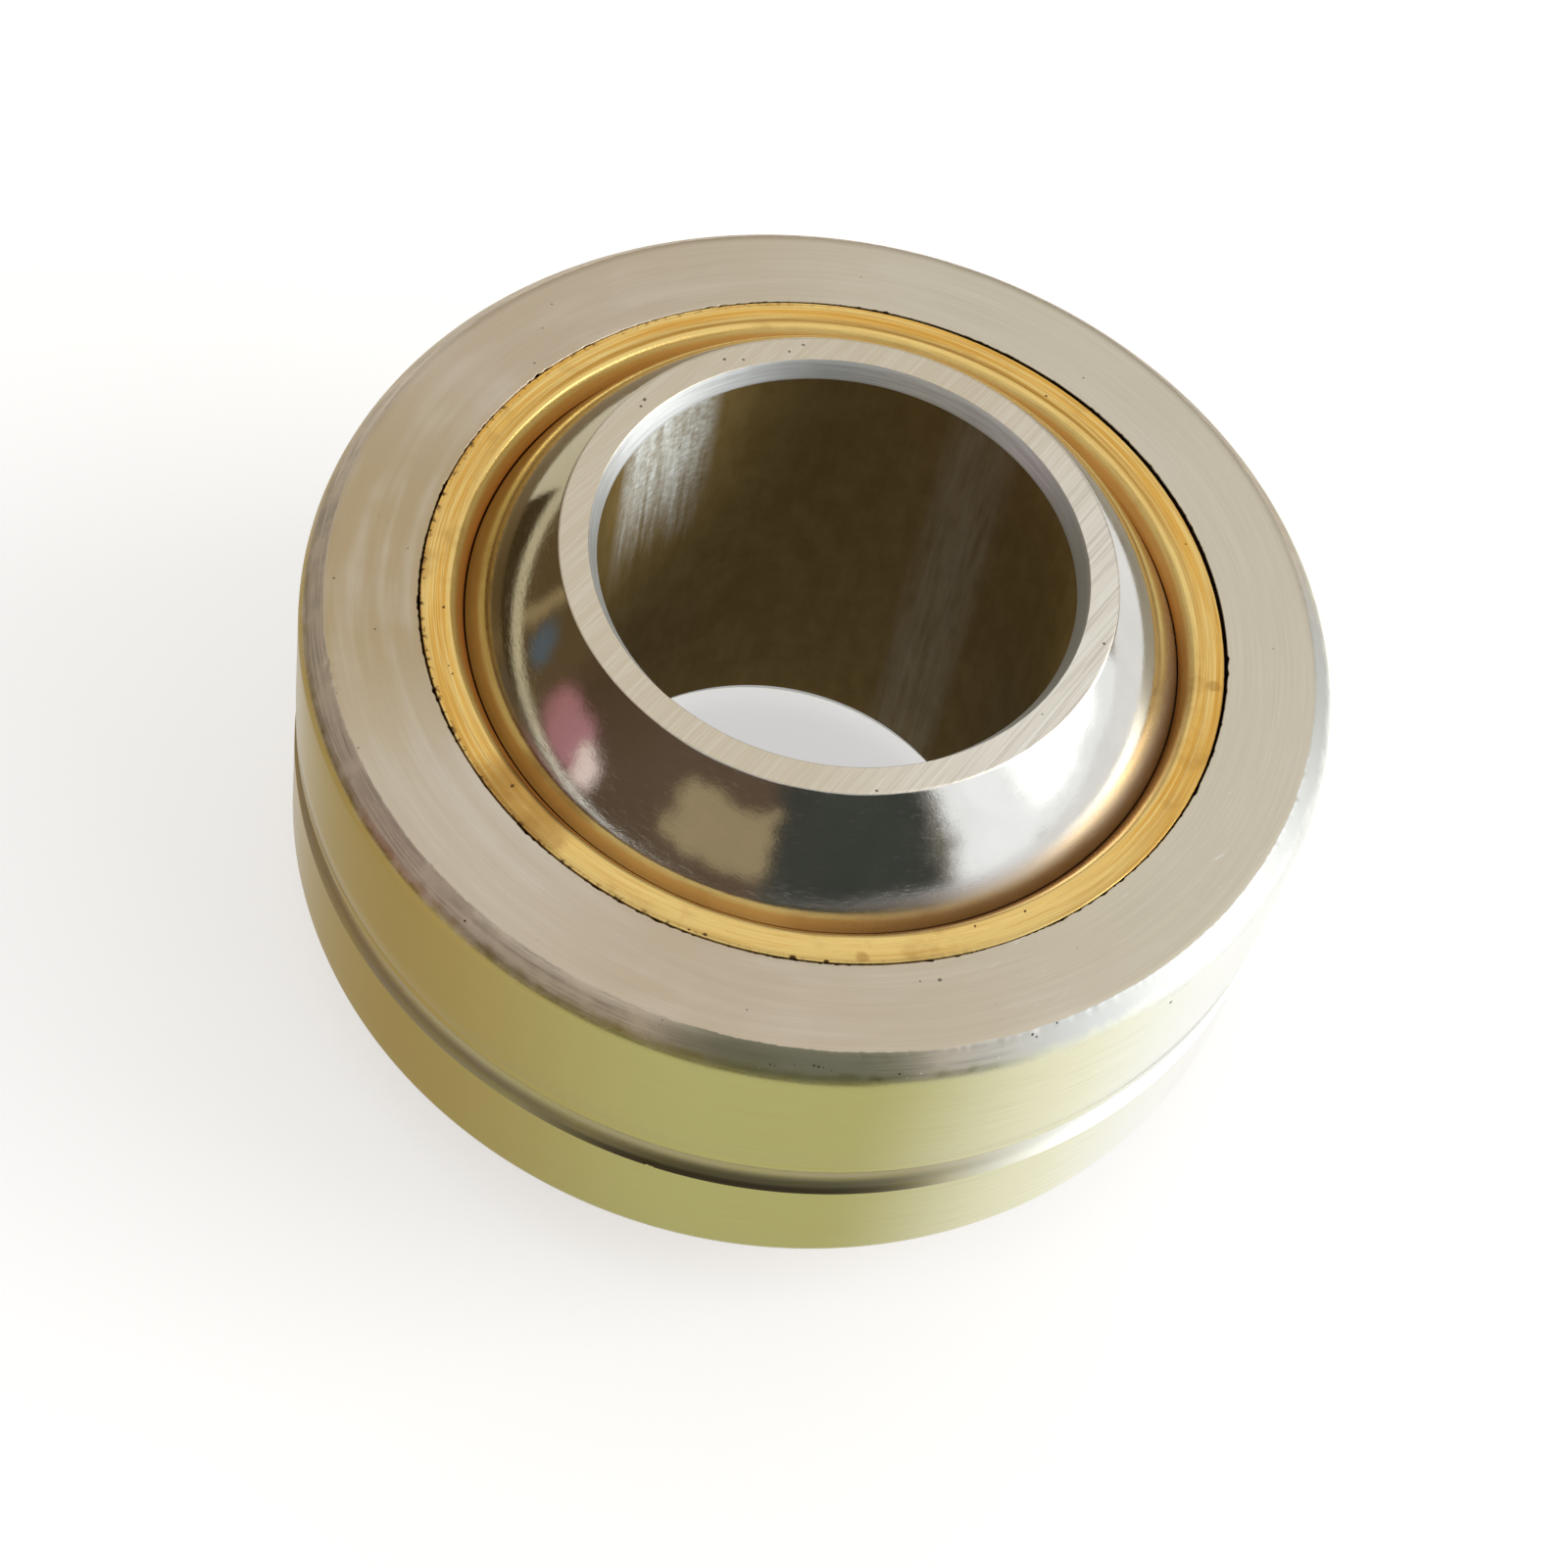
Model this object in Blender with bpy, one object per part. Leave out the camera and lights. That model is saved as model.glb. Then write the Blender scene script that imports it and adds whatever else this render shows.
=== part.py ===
# Spherical plain bearing: a steel outer ring, a brass race liner held in it by rolled-in lips,
# and a hardened inner ring ground to a ball on its outside.
# Metres, +Z along the bore axis, origin at the centre of the ball.
import math

import bmesh
import bpy
from mathutils import Matrix, Vector

# Inner ring
BORE_DIAMETER = 0.0300
INNER_RING_WIDTH = 0.0370
END_FACE_WIDTH = 0.0024
BORE_CHAMFER_WIDTH = 0.0006
BORE_CHAMFER_DEPTH = 0.0010

# Outer ring
OUTER_RING_WIDTH = 0.0250
OUTER_RING_WALL = 0.0054

# Fits between the pieces
RUNNING_CLEARANCE = 0.0003
SEAT_CLEARANCE = 0.0003

# Race liner
LINER_WALL = 0.0016
MOUTH_CHAMFER_WIDTH = 0.0006
MOUTH_CHAMFER_DEPTH = 0.0009
GREASE_GROOVE_WIDTH = 0.0036
GREASE_GROOVE_DEPTH = 0.0006

# Lips of the outer ring, rolled in over both ends of the liner
LIP_REACH = 0.0018
LIP_LAND = 0.0007
LIP_TAPER_LENGTH = 0.0022
LIP_EDGE_CHAMFER = 0.0002

# Outer corners of the outer ring: a 45 degree chamfer that blends round into the ground side
CORNER_CHAMFER = 0.00095
CORNER_BLEND_RADIUS = 0.0019

# Lubrication groove round the outside, and the hole through to the race
OIL_GROOVE_WIDTH = 0.0028
OIL_GROOVE_DEPTH = 0.0009
OIL_GROOVE_DROP = 0.0015
OIL_HOLE_DIAMETER = 0.0022
OIL_HOLE_DIRECTION = math.radians(90)

# The ball meets the outer edges of the two end faces, and each piece outside it fits round the last
BALL_DIAMETER = 2 * math.hypot(BORE_DIAMETER / 2 + END_FACE_WIDTH, INNER_RING_WIDTH / 2)
RACE_RADIUS = BALL_DIAMETER / 2 + RUNNING_CLEARANCE
LINER_RADIUS = RACE_RADIUS + LINER_WALL
SEAT_RADIUS = LINER_RADIUS + SEAT_CLEARANCE
OUTSIDE_DIAMETER = 2 * (SEAT_RADIUS + OUTER_RING_WALL)

# Fineness of the round surfaces
TURNS = 72
BALL_STEPS = 18
RACE_STEPS = 6
CORNER_STEPS = 3
GROOVE_STEPS = 6
HOLE_SIDES = 16


def clear_scene():
    for obj in list(bpy.data.objects):
        bpy.data.objects.remove(obj, do_unlink=True)


def make_material(name, colour, roughness):
    material = bpy.data.materials.new(name)
    material.use_nodes = True
    shader = material.node_tree.nodes["Principled BSDF"]
    shader.inputs["Base Color"].default_value = (*colour, 1.0)
    shader.inputs["Metallic"].default_value = 1.0
    shader.inputs["Roughness"].default_value = roughness
    material.diffuse_color = (*colour, 1.0)
    return material


def arc(centre, radius, start, end, steps):
    """Points on a circle in the section plane, angles measured from the +r direction towards +z."""
    points = []
    for i in range(steps + 1):
        angle = start + (end - start) * i / steps
        points.append((centre[0] + radius * math.cos(angle), centre[1] + radius * math.sin(angle)))
    return points


def mirrored(points):
    """The same run of a section below the middle plane, in the order that carries it on."""
    return [(r, -z) for r, z in reversed(points)]


def turn(name, section, material):
    """Spins a closed section round the bore axis into one closed body, shaded smooth but for its corners."""
    mesh = bpy.data.meshes.new(name)
    body = bmesh.new()
    ring = [body.verts.new((r, 0.0, z)) for r, z in section]
    edges = [body.edges.new((ring[i - 1], ring[i])) for i in range(len(ring))]
    bmesh.ops.spin(
        body,
        geom=ring + edges,
        cent=(0.0, 0.0, 0.0),
        axis=(0.0, 0.0, 1.0),
        angle=math.tau,
        steps=TURNS,
        use_merge=True,
    )
    bmesh.ops.recalc_face_normals(body, faces=body.faces)
    body.to_mesh(mesh)
    body.free()
    mesh.materials.append(material)
    mesh.shade_smooth()
    mesh.set_sharp_from_angle(angle=math.radians(22))
    obj = bpy.data.objects.new(name, mesh)
    bpy.context.collection.objects.link(obj)
    return obj


def inner_ring_section():
    """A ball cut off by two flat faces, with a chamfered bore through it."""
    ball = BALL_DIAMETER / 2
    half_width = INNER_RING_WIDTH / 2
    bore = BORE_DIAMETER / 2
    face_angle = math.asin(half_width / ball)
    outside = arc((0.0, 0.0), ball, face_angle, -face_angle, BALL_STEPS)
    chamfer = [(bore, half_width - BORE_CHAMFER_DEPTH), (bore + BORE_CHAMFER_WIDTH, half_width)]
    return outside + mirrored(chamfer) + chamfer


def liner_end(radius):
    """The tapered upper end of the liner, or of its seat, whose full radius is given."""
    half_width = OUTER_RING_WIDTH / 2
    neck = radius - LIP_REACH
    return [
        (neck, half_width),
        (neck, half_width - LIP_LAND),
        (radius, half_width - LIP_LAND - LIP_TAPER_LENGTH),
    ]


def race_liner_section():
    """Outside with tapered ends, chamfered mouths, and the hollow ball race with its grease groove."""
    half_width = OUTER_RING_WIDTH / 2
    mouth_angle = math.asin((half_width - MOUTH_CHAMFER_DEPTH) / RACE_RADIUS)
    mouth_radius = RACE_RADIUS * math.cos(mouth_angle)
    groove_angle = math.asin(GREASE_GROOVE_WIDTH / 2 / RACE_RADIUS)
    groove_edge = RACE_RADIUS * math.cos(groove_angle)
    upper_race = arc((0.0, 0.0), RACE_RADIUS, groove_angle, mouth_angle, RACE_STEPS)
    groove_floor = [(groove_edge + GREASE_GROOVE_DEPTH, GREASE_GROOVE_WIDTH / 2 - GREASE_GROOVE_DEPTH)]
    inside = groove_floor + upper_race + [(mouth_radius + MOUTH_CHAMFER_WIDTH, half_width)]
    outside = liner_end(LINER_RADIUS)
    return outside + mirrored(outside) + mirrored(inside) + inside


def corner_run():
    """Outer corner of the outer ring, from the flat face round into the side."""
    side = OUTSIDE_DIAMETER / 2
    half_width = OUTER_RING_WIDTH / 2
    blend_centre_r = side - CORNER_BLEND_RADIUS
    blend_start = math.radians(45)
    chamfer_end_r = blend_centre_r + CORNER_BLEND_RADIUS * math.cos(blend_start)
    chamfer_end_z = half_width - CORNER_CHAMFER
    blend_centre_z = chamfer_end_z - CORNER_BLEND_RADIUS * math.sin(blend_start)
    blend = arc((blend_centre_r, blend_centre_z), CORNER_BLEND_RADIUS, blend_start, 0.0, CORNER_STEPS)
    return [(chamfer_end_r - CORNER_CHAMFER, half_width)] + blend


def oil_groove_run():
    """Round-bottomed groove in the side, from its upper edge to its lower edge."""
    side = OUTSIDE_DIAMETER / 2
    half = OIL_GROOVE_WIDTH / 2
    radius = (half * half + OIL_GROOVE_DEPTH * OIL_GROOVE_DEPTH) / (2 * OIL_GROOVE_DEPTH)
    centre = (side - OIL_GROOVE_DEPTH + radius, -OIL_GROOVE_DROP)
    reach = math.asin(half / radius)
    return arc(centre, radius, math.pi - reach, math.pi + reach, GROOVE_STEPS)


def outer_ring_section():
    """Rectangular ring with blended corners, the oil groove, and the seat that holds the liner."""
    half_width = OUTER_RING_WIDTH / 2
    outside = corner_run() + oil_groove_run() + mirrored(corner_run())
    neck, land, taper = liner_end(SEAT_RADIUS)
    edge = [(neck[0] + LIP_EDGE_CHAMFER, half_width), (neck[0], half_width - LIP_EDGE_CHAMFER)]
    seat_top = [taper, land] + list(reversed(edge))
    return outside + mirrored(seat_top) + seat_top


def make_oil_drill():
    """Cutter for the radial hole, from outside the ring to inside the race."""
    start = RACE_RADIUS - LINER_WALL / 2
    end = OUTSIDE_DIAMETER / 2 + OIL_GROOVE_DEPTH
    mesh = bpy.data.meshes.new("oil_drill")
    body = bmesh.new()
    bmesh.ops.create_cone(
        body,
        cap_ends=True,
        segments=HOLE_SIDES,
        radius1=OIL_HOLE_DIAMETER / 2,
        radius2=OIL_HOLE_DIAMETER / 2,
        depth=end - start,
    )
    bmesh.ops.rotate(body, verts=body.verts, matrix=Matrix.Rotation(math.radians(90), 3, "Y"))
    bmesh.ops.translate(body, verts=body.verts, vec=Vector(((start + end) / 2, 0.0, 0.0)))
    bmesh.ops.rotate(body, verts=body.verts, matrix=Matrix.Rotation(OIL_HOLE_DIRECTION, 3, "Z"))
    body.to_mesh(mesh)
    body.free()
    drill = bpy.data.objects.new("oil_drill", mesh)
    bpy.context.collection.objects.link(drill)
    drill.location.z = -OIL_GROOVE_DROP
    drill.hide_render = True
    drill.display_type = "WIRE"
    return drill


def cut(obj, cutter):
    boolean = obj.modifiers.new("oil_hole", "BOOLEAN")
    boolean.operation = "DIFFERENCE"
    boolean.solver = "EXACT"
    boolean.object = cutter


def build():
    clear_scene()
    turned_steel = make_material("turned_steel", (0.48, 0.42, 0.34), 0.38)
    brass = make_material("brass", (0.80, 0.53, 0.17), 0.30)
    polished_steel = make_material("polished_steel", (0.55, 0.53, 0.49), 0.08)
    outer_ring = turn("outer_ring", outer_ring_section(), turned_steel)
    race_liner = turn("race_liner", race_liner_section(), brass)
    turn("inner_ring", inner_ring_section(), polished_steel)
    oil_drill = make_oil_drill()
    cut(outer_ring, oil_drill)
    cut(race_liner, oil_drill)


build()
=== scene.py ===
import math

import bmesh
import bpy
from mathutils import Matrix, Vector, noise


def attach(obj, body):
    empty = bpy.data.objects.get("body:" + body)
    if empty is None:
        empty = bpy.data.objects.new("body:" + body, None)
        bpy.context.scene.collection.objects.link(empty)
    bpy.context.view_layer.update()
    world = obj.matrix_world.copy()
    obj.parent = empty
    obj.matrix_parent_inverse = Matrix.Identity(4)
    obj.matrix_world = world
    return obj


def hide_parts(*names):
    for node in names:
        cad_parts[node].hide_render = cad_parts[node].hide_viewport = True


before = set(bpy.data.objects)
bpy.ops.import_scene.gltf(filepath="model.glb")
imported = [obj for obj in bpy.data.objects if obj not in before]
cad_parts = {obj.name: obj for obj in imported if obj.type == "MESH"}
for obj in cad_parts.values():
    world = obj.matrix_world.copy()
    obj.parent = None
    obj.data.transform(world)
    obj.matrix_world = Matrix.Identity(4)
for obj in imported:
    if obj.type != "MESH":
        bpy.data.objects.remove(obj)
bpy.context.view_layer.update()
print("bearing: frame loaded")

mm = 0.001


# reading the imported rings

def cadProfile(node):
    # section of a turned ring: its vertices that lie on +X, in mm
    points = set()
    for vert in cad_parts[node].data.vertices:
        if vert.co.x > 0 and abs(vert.co.y) < 0.01 * mm:
            points.add((round(vert.co.x / mm, 4), round(vert.co.z / mm, 4)))
    return sorted(points)


def endRadii(profile):
    # inner and outer radius of the flat end face on top
    top = max(z for r, z in profile)
    radii = [r for r, z in profile if abs(z - top) < 0.001]
    return min(radii), max(radii)


outerProfile = cadProfile("outer_ring")
linerProfile = cadProfile("race_liner")
innerProfile = cadProfile("inner_ring")

outerRadius = max(r for r, z in outerProfile)
outerHalf = max(z for r, z in outerProfile)
lipRadius, cornerRadius = endRadii(outerProfile)
lipBore = min(r for r, z in outerProfile)
lipLand = min(z for r, z in outerProfile if r < lipBore + 0.001 and z > 0)
seatRadius = max(r for r, z in outerProfile if r < cornerRadius)
seatTop = max(z for r, z in outerProfile if abs(r - seatRadius) < 0.001)
grooveRows = [(r, z) for r, z in outerProfile if abs(z) < outerHalf / 2 and r > cornerRadius]
grooveTop = max(z for r, z in grooveRows)
grooveLow = min(z for r, z in grooveRows)
grooveFloor = min(r for r, z in grooveRows)
grooveMiddle = (grooveTop + grooveLow) / 2

linerRadius = max(r for r, z in linerProfile)
linerTop = max(z for r, z in linerProfile if abs(r - linerRadius) < 0.001)
ridgeRadius, neckRadius = endRadii(linerProfile)
mouthRadius = min(r for r, z in linerProfile)
mouthHeight = max(z for r, z in linerProfile if abs(r - mouthRadius) < 0.001)

ballRadius = max(r for r, z in innerProfile)
innerHalf = max(z for r, z in innerProfile)
boreEdge, faceEdge = endRadii(innerProfile)
boreRadius = min(r for r, z in innerProfile)
boreFoot = max(z for r, z in innerProfile if r < boreRadius + 0.001)
print("bearing: outside", 2 * outerRadius, "ball", 2 * ballRadius, "bore", 2 * boreRadius)


# section and ring builders

def line(a, b, steps):
    return [(a[0] + (b[0] - a[0]) * i / steps, a[1] + (b[1] - a[1]) * i / steps) for i in range(steps + 1)]


def arc(centre, radius, start, end, steps):
    turn = [math.radians(start + (end - start) * i / steps) for i in range(steps + 1)]
    return [(centre[0] + radius * math.cos(t), centre[1] + radius * math.sin(t)) for t in turn]


def flipped(runs):
    # the same runs on the lower half, in the order that carries the section on
    return [(finish, [(r, -z) for r, z in reversed(points)]) for finish, points in reversed(runs)]


def bump(x, width):
    # a smooth hump, 1 at x = 0 and 0 past the width
    t = min(1.0, abs(x) / width)
    return (1 - t * t) ** 2


def smooth(x, low, high):
    t = min(1.0, max(0.0, (x - low) / (high - low)))
    return t * t * (3 - 2 * t)


def ripple(angle, along, seed, detail=3):
    # noise that closes on itself round the ring
    spot = Vector((math.cos(angle) * along, math.sin(angle) * along, seed))
    return noise.fractal(spot, 1.0, 2.0, detail)


def apart(a, b):
    # angle between two directions round the ring, in degrees
    return abs((a - b + 180) % 360 - 180)


def turnRing(name, runs, around, shape, finishes):
    # spins the closed section, with shape() moving each point, and gives each run its finish
    section = []
    for finish, points in runs:
        for r, z in points[:-1]:
            section.append((r, z, finishes.index(finish)))
    grid = bmesh.new()
    rings = []
    for step in range(around):
        angle = 2 * math.pi * step / around
        ring = []
        for r, z, finish in section:
            r, z = shape(angle, r, z)
            ring.append(grid.verts.new((r * mm * math.cos(angle), r * mm * math.sin(angle), z * mm)))
        rings.append(ring)
    for step in range(around):
        here, there = rings[step - 1], rings[step]
        for i in range(len(section)):
            j = (i + 1) % len(section)
            face = grid.faces.new((here[i], there[i], there[j], here[j]))
            face.material_index = section[i][2]
    bmesh.ops.recalc_face_normals(grid, faces=grid.faces)
    mesh = bpy.data.meshes.new(name)
    grid.to_mesh(mesh)
    grid.free()
    for finish in finishes:
        mesh.materials.append(bpy.data.materials[finish])
    mesh.shade_smooth()
    mesh.set_sharp_from_angle(angle=math.radians(32))
    ring = bpy.data.objects.new(name, mesh)
    bpy.context.scene.collection.objects.link(ring)
    print("bearing:", name, len(mesh.polygons) * 2, "triangles")
    return ring


# material helpers

def newFinish(name, colour, roughness):
    material = bpy.data.materials.new(name)
    material.use_nodes = True
    shader = material.node_tree.nodes["Principled BSDF"]
    shader.inputs["Base Color"].default_value = (*colour, 1)
    shader.inputs["Metallic"].default_value = 1.0
    shader.inputs["Roughness"].default_value = roughness
    return material.node_tree, shader


def add(tree, kind, inputs=None, **settings):
    node = tree.nodes.new("ShaderNode" + kind)
    for key, value in settings.items():
        setattr(node, key, value)
    for key, value in (inputs or {}).items():
        if isinstance(value, bpy.types.NodeSocket):
            tree.links.new(value, node.inputs[key])
        else:
            node.inputs[key].default_value = value
    return node


def calc(tree, operation, a, b=0.0, c=0.0):
    return add(tree, "Math", {0: a, 1: b, 2: c}, operation=operation).outputs[0]


def times(tree, *shares):
    # product of all the shares
    product = shares[0]
    for share in shares[1:]:
        product = calc(tree, "MULTIPLY", product, share)
    return product


def most(tree, *shares):
    # the highest of the shares
    highest = shares[0]
    for share in shares[1:]:
        highest = calc(tree, "MAXIMUM", highest, share)
    return highest


def ease(tree, share, change, start):
    # start, and this much more where the share is 1
    return calc(tree, "MULTIPLY_ADD", share, change, start)


def ringPlaces(tree):
    # place on the ring: unit vector round it, radius and height in mm, and the plain place in mm
    place = add(tree, "TexCoord").outputs["Object"]
    scaled = add(tree, "VectorMath", {0: place, "Scale": 1 / mm}, operation="SCALE").outputs[0]
    flat = add(tree, "VectorMath", {0: scaled, 1: (1, 1, 0)}, operation="MULTIPLY").outputs[0]
    radius = add(tree, "VectorMath", {0: flat}, operation="LENGTH").outputs["Value"]
    unit = add(tree, "VectorMath", {0: flat}, operation="NORMALIZE").outputs[0]
    height = add(tree, "SeparateXYZ", {0: scaled}).outputs[2]
    return unit, radius, height, scaled


def noiseOn(tree, vector, scale, detail, roughness):
    inputs = {"Vector": vector, "Scale": scale, "Detail": detail, "Roughness": roughness}
    return add(tree, "TexNoise", inputs)


def ringMarks(tree, unit, across, around, fineness, detail=3.0, roughness=0.6, seed=0.0):
    # noise drawn out round the ring, fine across it
    spread = add(tree, "VectorMath", {0: unit, "Scale": around}, operation="SCALE").outputs[0]
    parts = add(tree, "SeparateXYZ", {0: spread}).outputs
    level = calc(tree, "MULTIPLY_ADD", across, fineness, seed)
    vector = add(tree, "CombineXYZ", {0: parts[0], 1: parts[1], 2: level}).outputs[0]
    return noiseOn(tree, vector, 1.0, detail, roughness).outputs[0]


def cloud(tree, scaled, size, detail=3.0, roughness=0.55, seed=0.0):
    # plain noise with features of about this size in mm
    moved = add(tree, "VectorMath", {0: scaled, 1: (seed, seed * 2, 0)}, operation="ADD").outputs[0]
    return noiseOn(tree, moved, 1.0 / size, detail, roughness).outputs[0]


def between(tree, value, low, high):
    # 0 below low, 1 above high
    inputs = {"Value": value, "From Min": low, "From Max": high}
    return add(tree, "MapRange", inputs, interpolation_type="SMOOTHSTEP").outputs[0]


def band(tree, value, start, full, fade, end):
    # grows to 1 from start to full and dies away from fade to end
    return times(tree, between(tree, value, start, full), between(tree, value, end, fade))


def blendColour(tree, share, a, b):
    node = add(tree, "Mix", data_type="RGBA")
    for socket, value in ((node.inputs[0], share), (node.inputs[6], a), (node.inputs[7], b)):
        if isinstance(value, bpy.types.NodeSocket):
            tree.links.new(value, socket)
        elif isinstance(value, tuple):
            socket.default_value = (*value, 1)
        else:
            socket.default_value = value
    return node.outputs[2]


def tint(tree, colour, share, tone, amount=1.0):
    # lays the tone over the colour where the share is high
    if amount < 1.0:
        share = times(tree, share, amount)
    return blendColour(tree, share, colour, tone)


def bumped(tree, height, depth):
    return add(tree, "Bump", {"Height": height, "Strength": 1.0, "Distance": depth * mm}).outputs[0]


def toward(tree, unit, degrees, low, high):
    # share that grows to 1 on that side of the ring
    way = (math.cos(math.radians(degrees)), math.sin(math.radians(degrees)), 0)
    facing = add(tree, "VectorMath", {0: unit, 1: way}, operation="DOT_PRODUCT").outputs["Value"]
    return between(tree, facing, low, high)


def tintSides(tree, colour, unit, tones, names):
    # lays each named tone over the side of the ring that its own entry gives
    for name in names:
        colour = tint(tree, colour, toward(tree, unit, *tones[name + "At"]), tones[name])
    return colour


# edge of a mark, in shares of its size: how far it wanders, where it starts and where it is full
markEdge = {"wander": 1.6, "starts": 1.9, "full": 1.2}


def marksAt(tree, scaled, places, ragged=0.35):
    # 1 inside small ragged marks, each given as angle, radius, height and size in mm
    wobble = cloud(tree, scaled, ragged, 3.0, 0.7)
    mask = 0.0
    for angle, r, z, size in places:
        turn = math.radians(angle)
        centre = (r * math.cos(turn), r * math.sin(turn), z)
        away = add(tree, "VectorMath", {0: scaled, 1: centre}, operation="DISTANCE").outputs["Value"]
        away = calc(tree, "MULTIPLY_ADD", wobble, size * markEdge["wander"], away)
        inside = between(tree, away, size * markEdge["starts"], size * markEdge["full"])
        mask = calc(tree, "MAXIMUM", mask, inside)
    return mask


def scoredLines(tree, scaled, degrees, apartBy, length, seed=0.0):
    # noise drawn out into straight lines that lie at this angle across the face
    turned = add(tree, "VectorRotate", {"Vector": scaled, "Angle": math.radians(-degrees)},
                 rotation_type="Z_AXIS").outputs[0]
    stretch = {0: turned, 1: (1 / length, 1 / apartBy, 1.0), 2: (seed, seed, 0)}
    drawn = add(tree, "VectorMath", stretch, operation="MULTIPLY_ADD").outputs[0]
    return noiseOn(tree, drawn, 1.0, 4.0, 0.65).outputs[0]


def brushedRound(tree, shader, amount):
    # fine marks that run round the ring, so a highlight spreads across them
    shader.inputs["Anisotropic"].default_value = amount
    shader.inputs["Anisotropic Rotation"].default_value = 0.25
    tangent = add(tree, "Tangent", direction_type="RADIAL", axis="Z").outputs[0]
    tree.links.new(tangent, shader.inputs["Tangent"])


def dress(tree, shader, colour, relief, depth, rough=None):
    # colour, relief of this depth in mm and, where it varies, roughness
    tree.links.new(colour, shader.inputs["Base Color"])
    tree.links.new(bumped(tree, relief, depth), shader.inputs["Normal"])
    if rough is not None:
        tree.links.new(rough, shader.inputs["Roughness"])


# outer ring finishes

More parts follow.
